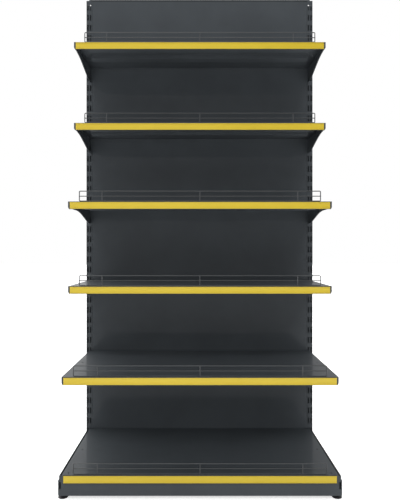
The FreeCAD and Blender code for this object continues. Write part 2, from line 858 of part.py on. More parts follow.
def skirt_section(sign, base):
    """Section of a deck's side fold; the base deck's fold turns in to sit on its leg."""
    outer, inner = f"{sign} * deck_half", f"{sign} * (deck_half - deck_sheet)"
    if not base:
        return [(inner, "0"), (outer, "0"), (outer, "-deck_skirt"), (inner, "-deck_skirt")]
    rest = f"{sign} * (deck_half - base_return)"
    return [
        (inner, "0"),
        (outer, "0"),
        (outer, "-base_skirt"),
        (rest, "-base_skirt"),
        (rest, "deck_sheet - base_skirt"),
        (inner, "deck_sheet - base_skirt"),
    ]


def build_deck(name, base=False):
    """Folded sheet deck with holes for fences and for lifting, and a lip whose return clears the brackets."""
    reach = f"{name}_reach"
    body = new_body(f"{name}_deck", z=f"{name}_z")
    clear_half = "base_clear_half" if base else "hung_clear_half"
    section = side_outline(new_sketch(body, "YZ_Plane"), deck_section(reach))
    pad(body, section, f"2 * {clear_half}", centred=True)
    top = rectangle(new_sketch(body, "YZ_Plane"), f"-{reach}", "-rear_gap", "-deck_sheet", "0")
    pad(body, top, "2 * deck_half", centred=True)
    lip = outline(new_sketch(body, "XZ_Plane", f"{reach} - deck_sheet"), lip_outline())
    pad(body, lip, "deck_sheet")
    skirts = new_sketch(body, "XZ_Plane", "rear_gap")
    for sign in SIDES.values():
        outline(skirts, skirt_section(sign, base))
    pad(body, skirts, f"{reach} - rear_gap - deck_sheet / 2")
    round_corner(body, reach, "0", "deck_bend")
    notches = new_sketch(body, "XY_Plane", "-deck_lip")
    for sign in SIDES.values():
        near_end, far_end = f"{sign} * ({clear_half} - lip_notch)", f"{sign} * {clear_half}"
        rectangle(notches, near_end, far_end, f"deck_sheet - {reach}", f"lip_return + deck_sheet - {reach}")
    pocket(body, notches, "lip_upturn + deck_sheet", reach="along")
    holes = new_sketch(body, "XY_Plane")
    for place in (f"fence_setback - {reach}", "-rear_hole_setback"):
        for x in ("-pin_x", "0", "pin_x"):
            circle(holes, x, place, "pin_hole_radius")
    lift_places = [f"-(rear_gap + {reach}) / 2"]
    if base:
        lift_places.append(f"lift_hole_setback - {reach}")
    for place in lift_places:
        for sign in SIDES.values():
            circle(holes, f"{sign} * (bracket_x - lift_hole_inset)", place, "lift_hole_radius")
    pocket(body, holes, f"{THROUGH} * deck_sheet")
    return body


def build_stiffener(name, base=False):
    """Hat-section rib welded under a deck."""
    body = new_body(f"{name}_stiffener", z=f"{name}_z")
    middle = f"(rear_gap + {name}_reach) / 2"
    top, bottom = "-deck_sheet", "-deck_sheet - rib_depth"
    flange = f"{top} - rib_sheet"
    hat = [
        (f"{middle} - rib_half - rib_flange", top),
        (f"{middle} - rib_half + rib_sheet", top),
        (f"{middle} - rib_half + rib_sheet", f"{bottom} + rib_sheet"),
        (f"{middle} + rib_half - rib_sheet", f"{bottom} + rib_sheet"),
        (f"{middle} + rib_half - rib_sheet", top),
        (f"{middle} + rib_half + rib_flange", top),
        (f"{middle} + rib_half + rib_flange", flange),
        (f"{middle} + rib_half", flange),
        (f"{middle} + rib_half", bottom),
        (f"{middle} - rib_half", bottom),
        (f"{middle} - rib_half", flange),
        (f"{middle} - rib_half - rib_flange", flange),
    ]
    clear_half = "base_clear_half" if base else "hung_clear_half"
    section = side_outline(new_sketch(body, "YZ_Plane"), hat)
    pad(body, section, f"2 * ({clear_half} - rib_end_gap)", centred=True)
    return body


def build_bracket(name, side):
    """Plate bracket with two hooks that hang in an upright's inner slots."""
    body = new_body(f"{name}_bracket_{side}", x=f"{SIDES[side]} * bracket_x", z=f"{name}_z")
    nose = f"{name}_reach - nose_gap"
    upper = "hook_seat - deck_above_slot"
    lower = f"{upper} - slot_pitch"
    plate = [
        ("-hook_back", "-bracket_top"),
        (nose, "-bracket_top"),
        (nose, "-bracket_nose"),
        ("bracket_slope_front", "-bracket_nose"),
        ("bracket_slope_rear", "-bracket_heel"),
        ("face_gap", "-bracket_heel"),
        ("face_gap", lower),
        ("-hook_front", lower),
        ("-hook_front", f"{lower} - hook_drop"),
        ("-hook_back", f"{lower} - hook_drop"),
        ("-hook_back", f"{lower} + hook_neck"),
        ("face_gap", f"{lower} + hook_neck"),
        ("face_gap", upper),
        ("-hook_front", upper),
        ("-hook_front", f"{upper} - hook_drop"),
        ("-hook_back", f"{upper} - hook_drop"),
    ]
    pad(body, side_outline(new_sketch(body, "YZ_Plane"), plate), "bracket_plate", centred=True)
    round_corner(body, "bracket_slope_front", "-bracket_nose", "bracket_front_bend")
    round_corner(body, "bracket_slope_rear", "-bracket_heel", "bracket_rear_bend")
    round_corner(body, nose, "-bracket_nose", "bracket_nose_bend")
    return body


def build_price_strip(name):
    """Lipped strip on the front of a deck."""
    body = new_body(f"{name}_price_strip", z=f"{name}_z")
    reach = f"{name}_reach"
    front, inside = f"{reach} + strip_depth", f"{reach} + strip_depth - strip_lip_wall"
    top, bottom = "-strip_drop", "-strip_drop - strip_height"
    section = [
        (reach, top),
        (front, top),
        (front, f"{top} - strip_lip"),
        (inside, f"{top} - strip_lip"),
        (inside, f"{top} - strip_lip_wall"),
        (f"{reach} + strip_wall", f"{top} - strip_lip_wall"),
        (f"{reach} + strip_wall", f"{bottom} + strip_lip_wall"),
        (inside, f"{bottom} + strip_lip_wall"),
        (inside, f"{bottom} + strip_lip"),
        (front, f"{bottom} + strip_lip"),
        (front, bottom),
        (reach, bottom),
    ]
    pad(body, side_outline(new_sketch(body, "YZ_Plane"), section), "2 * strip_half", centred=True)
    return body


def build_fence(name):
    """Welded wire fence with three pins that stand in the deck."""
    body = new_body(f"{name}_fence", y=f"face_y + fence_setback - {name}_reach", z=f"{name}_z")
    path = new_sketch(body, "XZ_Plane")
    rounded_loop(path, "fence_half", "fence_low", "fence_top", "fence_bend")
    wire = circle(new_sketch(body, "YZ_Plane"), "0", "fence_top", "fence_wire / 2")
    frame = body.newObject("PartDesign::AdditivePipe", f"{body.Name}_frame")
    frame.Profile = wire
    frame.Spine = (path, [])
    document.recompute()
    middle = circle(new_sketch(body, "YZ_Plane"), "fence_offset", "fence_middle", "fence_bar / 2")
    pad(body, middle, "2 * (fence_half + fence_lap)", centred=True)
    pins = new_sketch(body, "XY_Plane", "-pin_length")
    for x in ("-pin_x", "0", "pin_x"):
        circle(pins, x, "0", "fence_bar / 2")
    pad(body, pins, "pin_length + fence_top")
    return body


def build_all():
    """Every piece of the bay, in the order it goes together."""
    pieces = [build_upright(side) for side in SIDES]
    pieces += [build_panel(number) for number in PANELS]
    pieces += [build_top_rail(), build_tie_rail("lower"), build_tie_rail("upper")]
    pieces += [build_rail_bolts(), build_rail_nuts(), build_foot_nuts()]
    pieces += [build_leg(side) for side in SIDES]
    pieces.append(build_kick_plate())
    for end in ("front", "rear"):
        for side in SIDES:
            pieces += [build_foot_pad(end, side), build_foot_stem(end, side)]
    for name in HUNG:
        pieces += [build_bracket(name, side) for side in SIDES]
    for name in (*HUNG, "base"):
        on_base = name == "base"
        pieces += [build_deck(name, on_base), build_stiffener(name, on_base)]
        pieces += [build_price_strip(name), build_fence(name)]
    document.recompute()
    return pieces


def check(pieces):
    """Stop unless every object of the document is sound."""
    for item in document.Objects:
        if "Invalid" in item.State or "Error" in item.State:
            raise RuntimeError(f"{item.Label} is not sound: {item.State}")
    for item in pieces:
        if item.Shape.isNull() or not item.Shape.isValid() or not item.Shape.Solids:
            raise RuntimeError(f"{item.Label} has no valid solid")


pieces = build_all()
check(pieces)
os.makedirs("parts", exist_ok=True)
for piece in pieces:
    piece.Shape.exportStep(f"parts/{piece.Label}.step")
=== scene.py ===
"""Looks of a bay of retail shelving: coated steel, yellow price strips, wire fences and levelling feet.

Metres, +Z up, and the front faces -Y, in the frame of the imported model.
"""

import logging
import math
from abc import ABC, abstractmethod
from collections.abc import Callable, Iterator
from contextlib import contextmanager
from dataclasses import dataclass
from enum import Enum
from functools import cache

import bmesh
import bpy
from mathutils import Matrix, Vector


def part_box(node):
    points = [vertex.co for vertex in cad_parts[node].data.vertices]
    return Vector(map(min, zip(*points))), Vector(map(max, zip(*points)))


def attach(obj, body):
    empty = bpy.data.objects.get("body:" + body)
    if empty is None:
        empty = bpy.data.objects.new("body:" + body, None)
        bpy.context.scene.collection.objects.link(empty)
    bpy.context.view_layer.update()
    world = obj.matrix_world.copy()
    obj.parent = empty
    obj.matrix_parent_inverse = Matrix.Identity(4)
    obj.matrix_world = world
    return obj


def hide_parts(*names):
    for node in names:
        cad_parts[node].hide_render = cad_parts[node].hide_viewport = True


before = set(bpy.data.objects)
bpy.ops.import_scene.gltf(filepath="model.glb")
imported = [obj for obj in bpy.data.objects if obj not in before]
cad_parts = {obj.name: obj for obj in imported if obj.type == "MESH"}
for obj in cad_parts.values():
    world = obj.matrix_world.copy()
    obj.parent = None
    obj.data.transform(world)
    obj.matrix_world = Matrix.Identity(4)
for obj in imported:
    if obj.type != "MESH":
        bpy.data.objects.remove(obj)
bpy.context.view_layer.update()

Colour = tuple[float, float, float]
Point = tuple[float, float, float]
Pair = tuple[float, float]
Test = Callable[[Vector], bool]
Sockets = dict[str | int, object]

HUNG_SHELVES = 5
QUARTER_TURN = math.pi / 2
FULL_TURN = 2 * math.pi
SHARP_ANGLE = math.radians(35)
SMOOTH_ANGLE = math.radians(30)
CLOSE = 0.00002
WELD_GAP = 0.000005
NOISE_MIDDLE = 0.5
WHITE = (1.0, 1.0, 1.0)

log = logging.getLogger("shelving_bay")


class Slot(Enum):
    """The names of the record's material slots."""

    STRIP = "yellow_strip"
    WIRE = "fence_wire"
    PLASTIC = "black_plastic"
    ZINC = "zinc_steel"


class Side(Enum):
    """The two sides of the bay, as signs along X."""

    LEFT = -1
    RIGHT = 1


class End(Enum):
    """The two ends of a base leg."""

    FRONT = "front"
    REAR = "rear"


class Pick(Enum):
    """What is selected in edit mode, with the name of its list in a mesh."""

    VERT = "verts"
    EDGE = "edges"
    FACE = "faces"


class Signal:
    """A shader socket that Python's operators turn into Math nodes."""

    def __init__(self, graph: "Graph", socket: bpy.types.NodeSocket) -> None:
        """Wrap an output socket of a graph."""
        self.graph = graph
        self.socket = socket

    def __add__(self, other: "Signal | float") -> "Signal":
        """Sum."""
        return self.graph.maths("ADD", self, other)

    def __radd__(self, other: float) -> "Signal":
        """Sum with a number on the left."""
        return self.graph.maths("ADD", other, self)

    def __sub__(self, other: "Signal | float") -> "Signal":
        """Difference."""
        return self.graph.maths("SUBTRACT", self, other)

    def __rsub__(self, other: float) -> "Signal":
        """Difference from a number on the left."""
        return self.graph.maths("SUBTRACT", other, self)

    def __mul__(self, other: "Signal | float") -> "Signal":
        """Product."""
        return self.graph.maths("MULTIPLY", self, other)

    def __rmul__(self, other: float) -> "Signal":
        """Product with a number on the left."""
        return self.graph.maths("MULTIPLY", other, self)

    def top(self, other: "Signal | float") -> "Signal":
        """The larger of two values."""
        return self.graph.maths("MAXIMUM", self, other)

    def between(self, low: float, high: float) -> "Signal":
        """Smooth step that is 0 up to low and 1 from high on."""
        ends = {"Value": self, "From Min": low, "From Max": high}
        return self.graph.add("ShaderNodeMapRange", {"interpolation_type": "SMOOTHSTEP"}, ends)


class Graph:
    """Node tree of a material or of the world, filled from Python expressions."""

    edge_samples: int = 4
    edge_step: Pair = (0.02, 0.25)

    def __init__(self, tree: bpy.types.NodeTree) -> None:
        """Start from an empty tree."""
        self.tree = tree
        tree.nodes.clear()

    def add(
        self,
        kind: str,
        settings: dict[str, object] | None = None,
        sockets: Sockets | None = None,
        output: str | None = None,
    ) -> Signal | None:
        """Add one node of any type.

        Args:
            kind: The node's type.
            settings: Properties of the node, set before its sockets.
            sockets: Numbers, colours or signals for its inputs, by name, or by place where names repeat.
            output: The name of the output to read, if it isn't the first one.

        Returns:
            The output, or None for a node that has none.
        """
        node = self.tree.nodes.new(kind)
        for name, setting in (settings or {}).items():
            setattr(node, name, setting)
        for key, given in (sockets or {}).items():
            self.feed(self.socket(node, key), given)
        ready = [item for item in node.outputs if item.enabled and output in (None, item.name)]
        return Signal(self, ready[0]) if ready else None

    @staticmethod
    def socket(node: bpy.types.Node, key: str | int) -> bpy.types.NodeSocket:
        """A node's input, by its place or by its name among those in use."""
        named = (item for item in node.inputs if item.name == key and item.enabled)
        return node.inputs[key] if isinstance(key, int) else next(named)

    def feed(self, socket: bpy.types.NodeSocket, given: object) -> None:
        """Link a signal to an input, or set the input's own value.

        Args:
            socket: The input.
            given: A signal, a number, or the numbers of a vector or a colour.
        """
        if isinstance(given, Signal):
            self.tree.links.new(given.socket, socket)
        elif socket.type == "RGBA" and len(given) == 3:
            socket.default_value = (*given, 1.0)
        else:
            socket.default_value = given

    def maths(self, operation: str, first: Signal | float, second: Signal | float) -> Signal:
        """Result of a Math node on two values."""
        return self.add("ShaderNodeMath", {"operation": operation}, {0: first, 1: second})

    def place(self) -> Signal:
        """Object coordinates, which are the bay's own metres."""
        return self.add("ShaderNodeTexCoord", output="Object")

    def stretched(self, sizes: Point) -> Signal:
        """Object coordinates in units of a pattern's size along each axis."""
        scale = tuple(1 / size for size in sizes)
        return self.add("ShaderNodeMapping", {}, {"Vector": self.place(), "Scale": scale})

    def noise(self, sizes: Point, detail: float = 2.0, rough: float = 0.5) -> Signal:
        """Cloudy pattern around one half, with its size along each axis and its finer layers."""
        sockets = {"Vector": self.stretched(sizes), "Scale": 1.0, "Detail": detail, "Roughness": rough}
        return self.add("ShaderNodeTexNoise", {}, sockets, "Fac")

    def edge(self, radius: float) -> Signal:
        """Mask of the piece's sharp edges.

        Args:
            radius: How far from an edge the mask reaches, in metres.

        Returns:
            The mask, 0 on flat faces and towards 1 on edges.
        """
        rounded = self.add("ShaderNodeBevel", {"samples": self.edge_samples}, {"Radius": radius})
        flat = self.add("ShaderNodeNewGeometry", output="Normal")
        dot = {"operation": "DOT_PRODUCT"}
        likeness = self.add("ShaderNodeVectorMath", dot, {0: rounded, 1: flat}, "Value")
        return (1 - likeness).between(*self.edge_step)

    def blend(self, share: Signal, first: Colour | Signal, second: Colour | Signal) -> Signal:
        """Mix two colours, with the share of the second one."""
        sockets = {"Factor": share, "A": first, "B": second}
        return self.add("ShaderNodeMix", {"data_type": "RGBA"}, sockets)

    def sum_of(self, first: Signal, second: Signal) -> Signal:
        """Both of two shaders together."""
        return self.add("ShaderNodeAddShader", {}, {0: first, 1: second})

    def bump(self, height: Signal, depth: float) -> Signal:
        """Normal of a surface whose relief has a depth in metres."""
        return self.add("ShaderNodeBump", {}, {"Height": height, "Strength": 1.0, "Distance": depth})


def even(size: float) -> Point:
    """One size along all three axes."""
    return (size, size, size)


def new_graph(name: str) -> tuple[bpy.types.Material, Graph]:
    """Make a material with an empty graph.

    Args:
        name: The material's name.

    Returns:
        The material and its graph.
    """
    material = bpy.data.materials.new(name)
    material.use_nodes = True
    return material, Graph(material.node_tree)


@dataclass(frozen=True)
class Finish(ABC):
    """A surface that one principled shader shows."""

    name: str

    @abstractmethod
    def sockets(self, graph: Graph) -> Sockets:
        """Work out what goes into the shader.

        Args:
            graph: The material's tree, which gets the nodes.

        Returns:
            The shader's inputs.
        """

    @cache
    def material(self) -> bpy.types.Material:
        """Build the finish once.

        Returns:
            The material.
        """
        material, graph = new_graph(self.name)
        shader = graph.add("ShaderNodeBsdfPrincipled", {}, self.sockets(graph))
        graph.add("ShaderNodeOutputMaterial", {}, {"Surface": shader})
        return material


@dataclass(frozen=True)
class PowderCoat(Finish):
    """Powder coat on steel under a thin gloss: orange peel, faint mottling and edges rubbed brighter."""

    colour: Colour
    rubbed: Colour
    roughness: float = 0.56
    specular: float = 0.09
    gloss: float = 0.12
    gloss_roughness: float = 0.08
    mottle: float = 0.22
    mottle_step: Pair = (0.3, 0.7)
    mottle_shade: float = 0.88
    mottle_dulling: float = 0.07
    smear: Point = (0.09, 0.012, 0.012)
    smear_dulling: float = 0.05
    peel: float = 0.0014
    peel_depth: float = 0.000012
    # On the powder coat this edge mark is rubbed wear.
    wear_and_highlight_reach: float = 0.0011
    wear_patch: float = 0.02
    wear_step: Pair = (0.38, 0.62)
    wear_and_highlight_share: float = 0.4
    wear_dulling: float = 0.06

    def sockets(self, graph: Graph) -> Sockets:
        """Mottle and smear the paint, and rub patches of its edges.

        Args:
            graph: The material's tree.

        Returns:
            The shader's inputs.
        """
        clouds = graph.noise(even(self.mottle), detail=3.0, rough=0.6)
        smears = graph.noise(self.smear)
        grain = graph.noise(even(self.peel), detail=1.0)
        wear = graph.edge(self.wear_and_highlight_reach) * graph.noise(even(self.wear_patch)).between(*self.wear_step)
        shaded = tuple(self.mottle_shade * part for part in self.colour)
        base = graph.blend(clouds.between(*self.mottle_step), shaded, self.colour)
        dulled = self.roughness + self.mottle_dulling * (clouds - NOISE_MIDDLE)
        smeared = dulled + self.smear_dulling * (smears - NOISE_MIDDLE)
        return {
            "Base Color": graph.blend(wear * self.wear_and_highlight_share, base, self.rubbed),
            "Roughness": smeared + self.wear_dulling * wear,
            "Specular IOR Level": self.specular,
            "Coat Weight": self.gloss,
            "Coat Roughness": self.gloss_roughness,
            "Normal": graph.bump(grain, self.peel_depth),
        }


@dataclass(frozen=True)
class StripPlastic(Finish):
    """Yellow extruded plastic: fine lines along its length, a smooth satin skin, and a painted highlight
    of paler yellow along its edges.
    """

    colour: Colour
    deep: Colour
    # Paler yellow of the painted highlight along the edges.
    pale: Colour
    roughness: float = 0.36
    line: Point = (0.8, 0.0009, 0.0009)
    line_depth: float = 0.000008
    line_dulling: float = 0.1
    cloud: Point = (0.25, 0.05, 0.05)
    cloud_step: Pair = (0.3, 0.7)
    # How far the painted highlight reaches from an edge, and how much of the paler yellow it takes.
    wear_and_highlight_reach: float = 0.0007
    wear_and_highlight_share: float = 0.35

    def sockets(self, graph: Graph) -> Sockets:
        """Draw the lines, cloud the yellow and paint a highlight of paler yellow along its edges.

        Args:
            graph: The material's tree.

        Returns:
            The shader's inputs.
        """
        lines = graph.noise(self.line)
        clouds = graph.noise(self.cloud)
        base = graph.blend(clouds.between(*self.cloud_step), self.deep, self.colour)
        return {
            # Painted highlight: the edges blend towards the paler yellow.
            "Base Color": graph.blend(graph.edge(self.wear_and_highlight_reach) * self.wear_and_highlight_share, base, self.pale),
            "Roughness": self.roughness + self.line_dulling * (lines - NOISE_MIDDLE),
            "Normal": graph.bump(lines, self.line_depth),
        }


@dataclass(frozen=True)
class MouldedPlastic(Finish):
    """Black moulded plastic with a fine spark-eroded grain and pale scuffs."""

    colour: Colour
    roughness: float = 0.5
    grain: float = 0.0005
    grain_depth: float = 0.00004
    scuff: float = 0.006
    scuff_step: Pair = (0.5, 0.75)
    scuff_share: float = 0.5
    scuff_gain: float = 2.2
    scuff_dulling: float = 0.16

    def sockets(self, graph: Graph) -> Sockets:
        """Grain the skin and scuff it.

        Args:
            graph: The material's tree.

        Returns:
            The shader's inputs.
        """
        grain = graph.noise(even(self.grain))
        scuffs = graph.noise(even(self.scuff), detail=3.0).between(*self.scuff_step)
        pale = tuple(self.scuff_gain * part for part in self.colour)
        return {
            "Base Color": graph.blend(scuffs * self.scuff_share, self.colour, pale),
            "Roughness": self.roughness + self.scuff_dulling * scuffs,
            "Normal": graph.bump(grain, self.grain_depth),
        }


@dataclass(frozen=True)
class ZincPlate(Finish):
    """Bright zinc-plated steel with fine turning marks and dull patches."""

    colour: Colour
    dull: Colour
    roughness: float = 0.3
    patch: float = 0.004
    patch_step: Pair = (0.35, 0.7)
    patch_dulling: float = 0.2
    turning: Point = (0.006, 0.006, 0.0003)
    turning_depth: float = 0.000006
    turning_dulling: float = 0.08

    def sockets(self, graph: Graph) -> Sockets:
        """Dull the zinc in patches, and turn fine marks into it.

        Args:
            graph: The material's tree.

        Returns:
            The shader's inputs.
        """
        patches = graph.noise(even(self.patch), detail=3.0).between(*self.patch_step)
        marks = graph.noise(self.turning, detail=1.0)
        dulled = self.roughness + self.patch_dulling * patches
        return {
            "Base Color": graph.blend(patches, self.colour, self.dull),
            "Metallic": 1.0,
            "Roughness": dulled + self.turning_dulling * (marks - NOISE_MIDDLE),
            "Normal": graph.bump(marks, self.turning_depth),
        }


PAINT = PowderCoat("anthracite_powder_coat", (0.060, 0.068, 0.0755), (0.13, 0.135, 0.14))
WIRE_PAINT = PowderCoat(
    "fence_wire_coat", (0.035, 0.039, 0.042), (0.08, 0.084, 0.088), roughness=0.3, specular=0.5
)
# The third colour is the paler yellow of the painted highlight along the strip's edges.
YELLOW = StripPlastic(
    "yellow_strip_plastic", (0.60, 0.447, 0.026), (0.575, 0.423, 0.022), (0.67, 0.52, 0.07)
)
BLACK = MouldedPlastic("black_moulded_plastic", (0.009, 0.009, 0.010))
ZINC = ZincPlate("bright_zinc", (0.62, 0.63, 0.64), (0.48, 0.49, 0.51))


def dress(piece: bpy.types.Object, material: bpy.types.Material) -> None:
    """Give a piece one material all over.

    Args:
        piece: The piece or the CAD node.
        material: The finish.
    """
    if not piece.material_slots:
        piece.data.materials.append(material)
    for slot in piece.material_slots:
        slot.material = material


def deselect() -> None:
    """Leave no object selected."""
    bpy.ops.object.select_all(action="DESELECT")


def activate(piece: bpy.types.Object) -> None:
    """Select one piece alone and make it the active one.

    Args:
        piece: The piece.
    """
    deselect()
    piece.select_set(True)
    bpy.context.view_layer.objects.active = piece


def fix_place(piece: bpy.types.Object) -> None:
    """Put a piece's place, turn and stretch into its mesh."""
    activate(piece)
    bpy.ops.object.transform_apply(location=True, rotation=True, scale=True)


def start(primitive: str, name: str, scale: Point = (1, 1, 1), **sizes: object) -> bpy.types.Object:
    """Add a primitive with its place in its mesh.

    Args:
        primitive: The primitive's name in Blender's own list.
        name: The piece's name.
        scale: A stretch along each of the primitive's own axes.
        sizes: The primitive's other settings.

    Returns:
        The new piece, active and alone in the selection.
    """
    deselect()
    getattr(bpy.ops.mesh, f"primitive_{primitive}_add")(**sizes)
    piece = bpy.context.active_object
    piece.name = name
    piece.data.name = name
    piece.scale = scale
    fix_place(piece)
    return piece


@contextmanager
def editing(piece: bpy.types.Object, kind: Pick = Pick.VERT) -> Iterator[None]:
    """Edit one piece, starting with all of it selected.

    Args:
        piece: The piece.
        kind: What the selection is made of.

    Returns:
        A context in which edit mode is on.
    """
    activate(piece)
    bpy.ops.object.mode_set(mode="EDIT")
    bpy.ops.mesh.select_mode(type=kind.name)
    bpy.ops.mesh.select_all(action="SELECT")
    yield
    bpy.ops.object.mode_set(mode="OBJECT")


def pick(piece: bpy.types.Object, kind: Pick, test: Test) -> None:
    """Select what lies where a test says, in edit mode.

    Args:
        piece: The piece that is being edited.
        kind: What is selected.
        test: A test of an edge's or a face's middle.
    """
    bpy.ops.mesh.select_mode(type=kind.name)
    bpy.ops.mesh.select_all(action="DESELECT")
    mesh = bmesh.from_edit_mesh(piece.data)
    for item in getattr(mesh, kind.value):
        corners = [corner.co for corner in item.verts]
        item.select_set(test(sum(corners, Vector()) / len(corners)))
    mesh.select_flush_mode()
    bmesh.update_edit_mesh(piece.data)


def extrude(step: Point) -> None:
    """Extrude the selection along a step, and leave its new end selected."""
    bpy.ops.mesh.extrude_region_move(TRANSFORM_OT_translate={"value": step})


def resize(share: Point, centre: Point) -> None:
    """Scale the selection about a point."""
    bpy.ops.transform.resize(value=share, center_override=centre)


def finish_with(piece: bpy.types.Object, kind: str, **settings: object) -> None:
    """Add a modifier to a piece and apply it.

    Args:
        piece: The piece.
        kind: The modifier's type.
        settings: The modifier's settings.
    """
    activate(piece)
    modifier = piece.modifiers.new(kind.lower(), kind)
    for name, setting in settings.items():
        setattr(modifier, name, setting)
    bpy.ops.object.modifier_apply(modifier=modifier.name)


def round_edges(
    piece: bpy.types.Object, width: float, segments: int = 2, angle: float = SHARP_ANGLE
) -> None:
    """Round the edges of a piece that turn by more than an angle."""
    limit = {"limit_method": "ANGLE", "angle_limit": angle}
    finish_with(piece, "BEVEL", width=width, segments=segments, **limit)


def weld_into(piece: bpy.types.Object, tool: bpy.types.Object, operation: str = "UNION") -> None:
    """Join a second shape to a piece, or trim the piece by it, as one closed skin."""
    finish_with(piece, "BOOLEAN", object=tool, operation=operation, solver="EXACT", use_self=True)
    bpy.data.objects.remove(tool)


def join(pieces: list[bpy.types.Object]) -> bpy.types.Object:
    """Join loose shapes into the first of them.

    Args:
        pieces: The shapes.

    Returns:
        The first one, which now holds them all.
    """
    activate(pieces[0])
    for piece in pieces[1:]:
        piece.select_set(True)
    bpy.ops.object.join()
    return pieces[0]


def close_up(piece: bpy.types.Object, smooth: float = SMOOTH_ANGLE) -> None:
    """Merge a piece's doubles, turn its faces outwards and smooth its curved stretches.

    Args:
        piece: The piece.
        smooth: The largest angle that is shaded as a curve, in radians.
    """
    with editing(piece):
        bpy.ops.mesh.remove_doubles(threshold=WELD_GAP)
        bpy.ops.mesh.normals_make_consistent(inside=False)
    activate(piece)
    bpy.ops.object.shade_smooth_by_angle(angle=smooth)


def copy_to(model: bpy.types.Object, name: str, place: Vector, turn: float = 0.0) -> bpy.types.Object:
    """Copy a piece, with a mesh of its own, and put the copy's place into its mesh.

    Args:
        model: The piece, modelled at the origin.
        name: The copy's name.
        place: Where the copy's origin goes.
        turn: How far the copy is turned about +Z, in radians.

    Returns:
        The copy.
    """
    piece = model.copy()
    piece.data = model.data.copy()
    piece.name = name
    piece.data.name = name
    bpy.context.scene.collection.objects.link(piece)
    piece.matrix_world = Matrix.Translation(place) @ Matrix.Rotation(turn, 4, "Z")
    fix_place(piece)
    return piece


def settle(piece: bpy.types.Object, body: str, node: str, material: bpy.types.Material) -> None:
    """Let a finished piece stand for a CAD node.

    Args:
        piece: The piece.
        body: The body that carries it.
        node: The CAD node that it stands for.
        material: The finish.
    """
    dress(piece, material)
    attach(piece, body)
    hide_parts(node)
    faces = len(piece.data.polygons)
    log.info("%s stands for %s and rides on %s, %d faces", piece.name, node, body, faces)


def middle_of(node: str) -> Vector:
    """Middle of a CAD node's box."""
    low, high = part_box(node)
    return (low + high) / 2


@dataclass
class Thread:
    """A screw thread along +Z, from 0 to its length, with chamfered ends.

    Its depth, flank, flat and trim are shares of its pitch.
    """

    radius: float
    pitch: float
    length: float
    steps: int = 24
    chamfer: float = 0.0008
    depth: float = 0.61
    flank: float = 5 / 16
    flat: float = 1 / 8
    trim: float = 1 / 4
    spare_turns: int = 3

    def build(self, name: str) -> bpy.types.Object:
        """Wind one turn's profile up the screw, and trim its ends.

        Args:
            name: The shape's name.

        Returns:
            The closed thread.
        """
        turns = math.ceil(self.length / self.pitch) + self.spare_turns
        shares = (self.depth, self.flank, self.flat, self.trim)
        depth, rise, run, trim = (share * self.pitch for share in shares)
        foot = (self.radius - depth, 0, -self.spare_turns / 2 * self.pitch)
        thread = start("plane", name, size=self.pitch, location=foot)
        with editing(thread):
            bpy.ops.mesh.merge(type="CENTER")
            for step in ((0, 0, run), (depth, 0, rise), (0, 0, run), (-depth, 0, rise), (0, 0, run)):
                extrude(step)
        finish_with(
            thread,
            "SCREW",
            axis="Z",
            screw_offset=self.pitch,
            iterations=turns,
            steps=self.steps,
            render_steps=self.steps,
            use_merge_vertices=True,
            merge_threshold=CLOSE,
        )
        for height, outwards in ((-trim, -1), (self.length + trim, 1)):
            with editing(thread):
                bpy.ops.mesh.bisect(
                    plane_co=(0, 0, height), plane_no=(0, 0, outwards), use_fill=True, clear_outer=True
                )
        close_up(thread)
        envelope = start(
            "cylinder",
            f"{name}_envelope",
            vertices=2 * self.steps,
            radius=self.radius + CLOSE,
            depth=self.length,
            location=(0, 0, self.length / 2),
        )
        round_edges(envelope, self.chamfer, segments=1)
        weld_into(thread, envelope, "INTERSECT")
        return thread


@dataclass(frozen=True)
class Hexagon:
    """A hexagon head or collar along +Z, with chamfered corners."""

    flats: float
    height: float
    chamfer: float = 0.0005
    facets: int = 48

    def build(self, name: str, base: float) -> bpy.types.Object:
        """Trim a hexagon prism with a chamfered disc, as a bar is turned.

        Args:
            name: The shape's name.
            base: The height of its lower face.

        Returns:
            The hexagon.
        """
        corner = self.flats / math.sqrt(3)
        place = (0, 0, base + self.height / 2)
        prism = start("cylinder", name, vertices=6, radius=corner, depth=self.height, location=place)
        disc = start(
            "cylinder",
            f"{name}_disc",
            vertices=self.facets,
            radius=corner - CLOSE,
            depth=self.height,
            location=place,
        )
        round_edges(disc, corner - self.flats / 2 + self.chamfer, segments=1)
        weld_into(prism, disc, "INTERSECT")
        return prism


